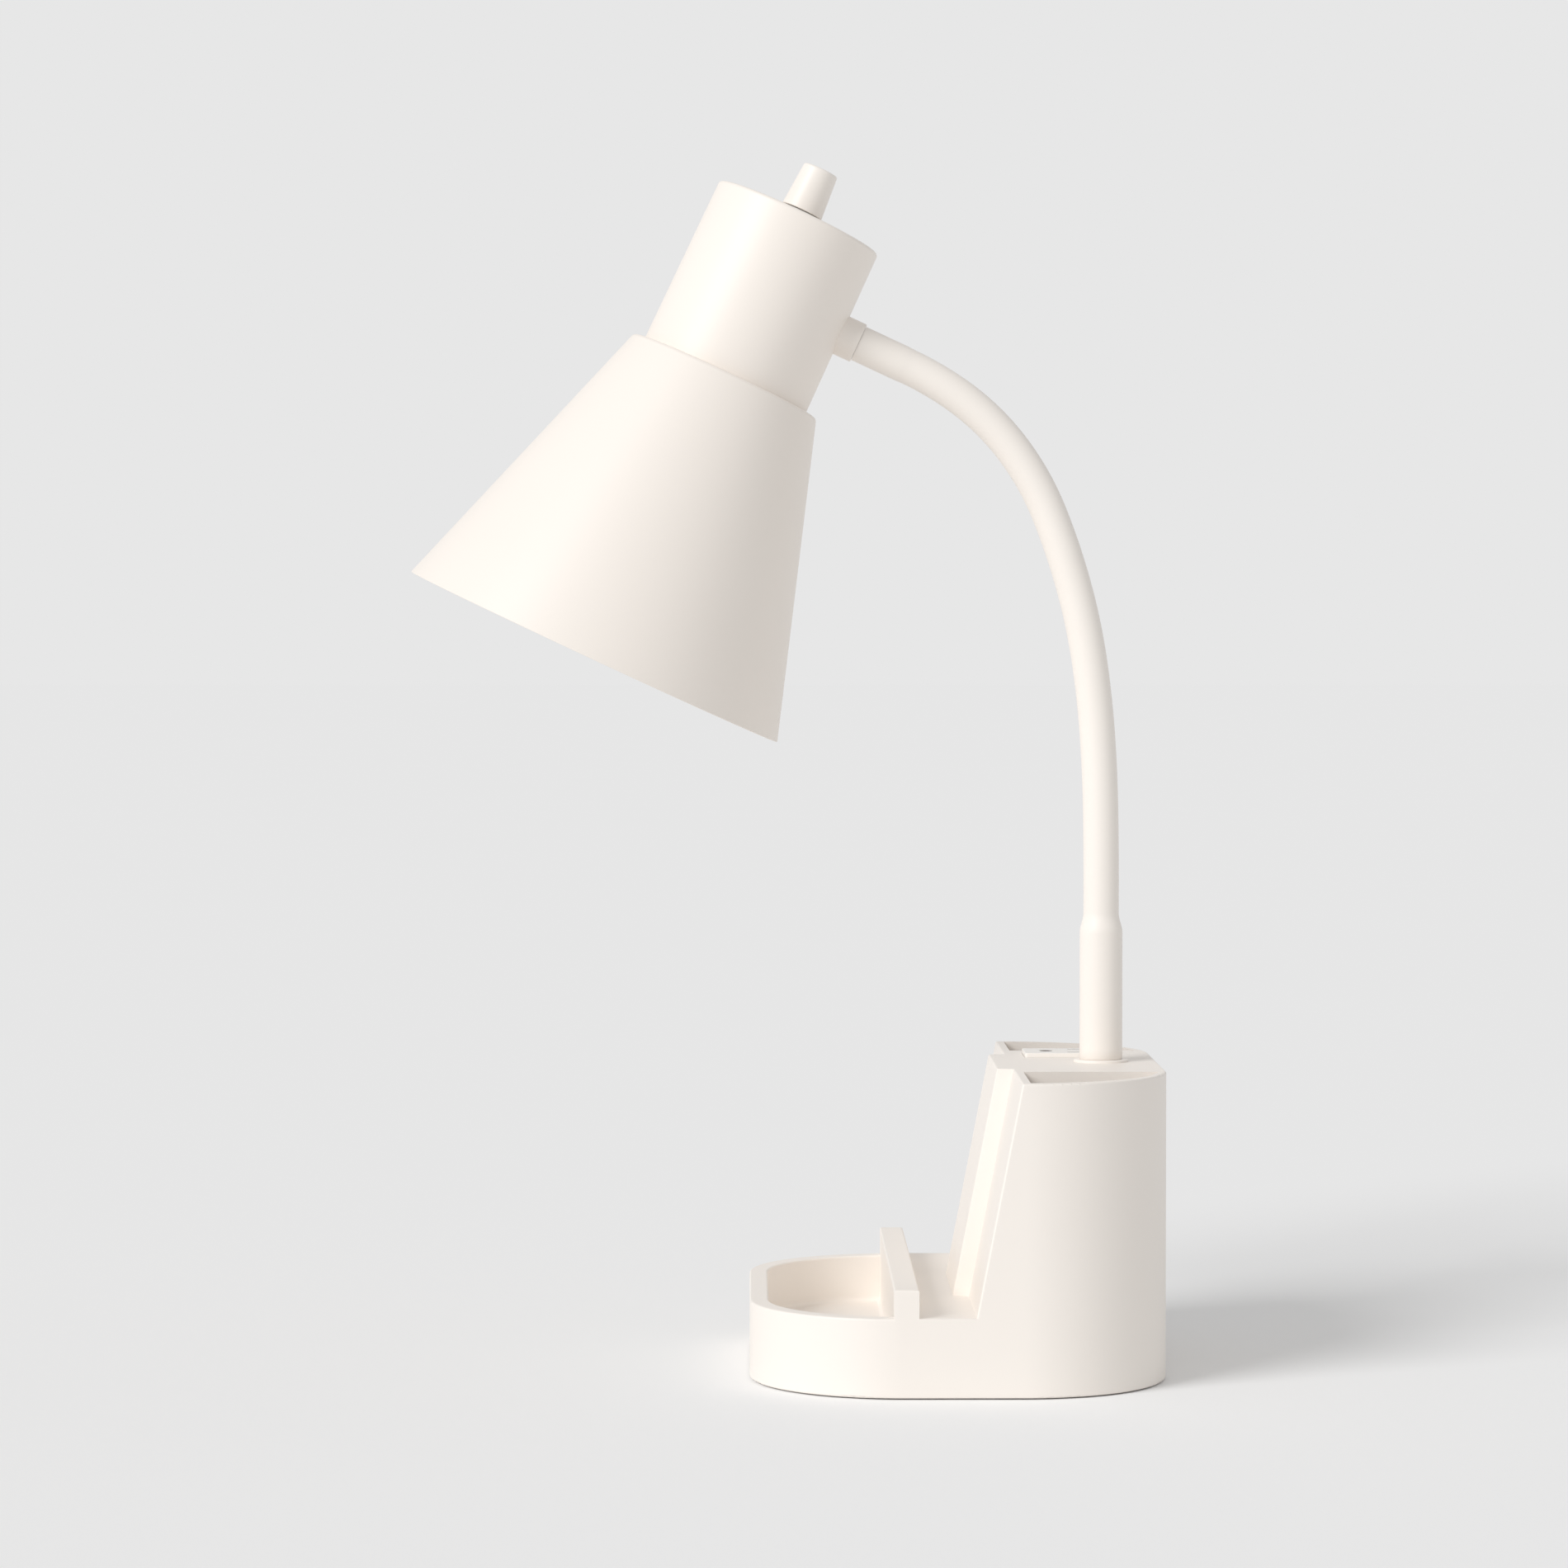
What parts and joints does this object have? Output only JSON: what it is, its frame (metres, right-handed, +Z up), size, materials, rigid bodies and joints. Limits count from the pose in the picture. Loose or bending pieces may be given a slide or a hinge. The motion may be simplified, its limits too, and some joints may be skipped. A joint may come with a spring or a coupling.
{
  "type": "desk task lamp",
  "caption": "Flexible-neck desk lamp with a conical shade, a turn switch on top, and an organiser base with tray, device slot, pen wells and a power outlet.",
  "frame": {"origin": "middle of the base's outline, on the desk that the lamp stands on", "axes": "+Z up, -X towards the lamp's front, where the tray is and the shade leans, +Y across the base towards the end with the outlet"},
  "size_m": [0.2821, 0.189, 0.4537],
  "materials": {
    "housing_plastic": "satin, lightly textured",
    "pad_rubber": "matt foam",
    "ballast_steel": "plain",
    "zinc_steel": "zinc plated",
    "grommet_plastic": "satin",
    "block_plastic": "plain",
    "outlet_plastic": "smooth",
    "contact_brass": "plain",
    "wire_plastic": "smooth",
    "flange_plastic": "smooth",
    "skin_plastic": "smooth, slightly soft",
    "collar_paint": "semi gloss",
    "shade_paint": "semi gloss",
    "knob_plastic": "smooth",
    "shell_aluminium": "pressed",
    "insulator_glass": "fused glass",
    "bulb_plastic": "smooth",
    "globe_plastic": "frosted"
  },
  "bodies": {
    "base": {"base_housing": "housing_plastic", "bottom_cover": "housing_plastic", "base_pad": "pad_rubber", "ballast_plate": "ballast_steel", "cover_screws": "zinc_steel", "ballast_screws": "zinc_steel", "cord_grommet": "grommet_plastic", "terminal_block": "block_plastic", "terminal_screws": "zinc_steel", "outlet_housing": "outlet_plastic", "outlet_back": "block_plastic", "neutral_contact": "contact_brass", "line_contact": "contact_brass", "ground_contact": "contact_brass", "outlet_screws": "zinc_steel", "outlet_wire": "wire_plastic", "neck_flange": "flange_plastic", "lower_ferrule": "zinc_steel", "neck_nut": "zinc_steel", "neck_core_0": "zinc_steel", "neck_sleeve_0": "skin_plastic", "lamp_wire": "wire_plastic"},
    "neck_1": {"neck_core_1": "zinc_steel", "neck_sleeve_1": "skin_plastic"},
    "neck_2": {"neck_core_2": "zinc_steel", "neck_sleeve_2": "skin_plastic"},
    "neck_3": {"neck_core_3": "zinc_steel", "neck_sleeve_3": "skin_plastic"},
    "neck_4": {"neck_core_4": "zinc_steel", "neck_sleeve_4": "skin_plastic"},
    "neck_5": {"neck_core_5": "zinc_steel", "neck_sleeve_5": "skin_plastic"},
    "neck_6": {"neck_core_6": "zinc_steel", "neck_sleeve_6": "skin_plastic"},
    "neck_7": {"neck_core_7": "zinc_steel", "neck_sleeve_7": "skin_plastic"},
    "head": {"neck_core_8": "zinc_steel", "neck_sleeve_8": "skin_plastic", "upper_ferrule": "zinc_steel", "collar": "collar_paint", "saddle_washer": "zinc_steel", "head_nut": "zinc_steel", "holder_bracket": "zinc_steel", "bracket_screws": "zinc_steel", "holder_body": "block_plastic", "shade_ring": "block_plastic", "screw_shell": "shell_aluminium", "centre_contact": "contact_brass", "switch_body": "block_plastic", "switch_nut": "zinc_steel", "switch_leads": "wire_plastic", "socket_cup": "shade_paint", "shade": "shade_paint"},
    "knob": {"switch_shaft": "zinc_steel", "switch_knob": "knob_plastic"},
    "bulb": {"bulb_tip": "contact_brass", "bulb_insulator": "insulator_glass", "bulb_shell": "shell_aluminium", "bulb_housing": "bulb_plastic", "bulb_globe": "globe_plastic"}
  },
  "joints": [
    {"name": "neck_low_bend", "type": "hinge", "parent": "base", "child": "neck_1", "pos_m": [0.056, 0, 0.18], "axis": [0, -1, 0], "range_deg": [-14, 10], "deforming": ["lamp_wire"]},
    {"name": "neck_side", "type": "hinge", "parent": "neck_1", "child": "neck_2", "pos_m": [0.05575, 0, 0.2088], "axis": [0.9998, 0, 0.0175], "range_deg": [-12, 12], "deforming": ["lamp_wire"]},
    {"name": "neck_low_bend_2", "type": "hinge", "parent": "neck_2", "child": "neck_3", "pos_m": [0.05449, 0, 0.23757], "axis": [0, -1, 0], "range_deg": [-14, 10], "deforming": ["lamp_wire"]},
    {"name": "neck_side_2", "type": "hinge", "parent": "neck_3", "child": "neck_4", "pos_m": [0.05136, 0, 0.26619], "axis": [0.989, 0, 0.1478], "range_deg": [-12, 12], "deforming": ["lamp_wire"]},
    {"name": "neck_high_bend", "type": "hinge", "parent": "neck_4", "child": "neck_5", "pos_m": [0.04537, 0, 0.29434], "axis": [0, -1, 0], "range_deg": [-14, 12], "deforming": ["lamp_wire"]},
    {"name": "neck_side_3", "type": "hinge", "parent": "neck_5", "child": "neck_6", "pos_m": [0.03612, 0, 0.3216], "axis": [0.9272, 0, 0.3746], "range_deg": [-12, 12], "deforming": ["lamp_wire"]},
    {"name": "neck_high_bend_2", "type": "hinge", "parent": "neck_6", "child": "neck_7", "pos_m": [0.02187, 0, 0.34653], "axis": [0, -1, 0], "range_deg": [-14, 12], "deforming": ["lamp_wire"]},
    {"name": "neck_high_bend_3", "type": "hinge", "parent": "neck_7", "child": "head", "pos_m": [0.00115, 0, 0.36637], "axis": [0, -1, 0], "range_deg": [-14, 12], "deforming": ["lamp_wire"]},
    {"name": "switch_turn", "type": "hinge", "parent": "head", "child": "knob", "pos_m": [-0.05851, 0, 0.43315], "axis": [-0.4226, 0, -0.9063], "continuous": true},
    {"name": "bulb_unscrew", "type": "hinge", "parent": "head", "child": "bulb", "pos_m": [-0.10077, 0, 0.34252], "axis": [0.4226, 0, 0.9063], "continuous": true}
  ],
  "couplings": [
    {"joint": "neck_low_bend_2", "follows": "neck_low_bend", "ratio": 1},
    {"joint": "neck_side_2", "follows": "neck_side", "ratio": 1},
    {"joint": "neck_side_3", "follows": "neck_side", "ratio": 1},
    {"joint": "neck_high_bend_2", "follows": "neck_high_bend", "ratio": 1},
    {"joint": "neck_high_bend_3", "follows": "neck_high_bend", "ratio": 1}
  ]
}
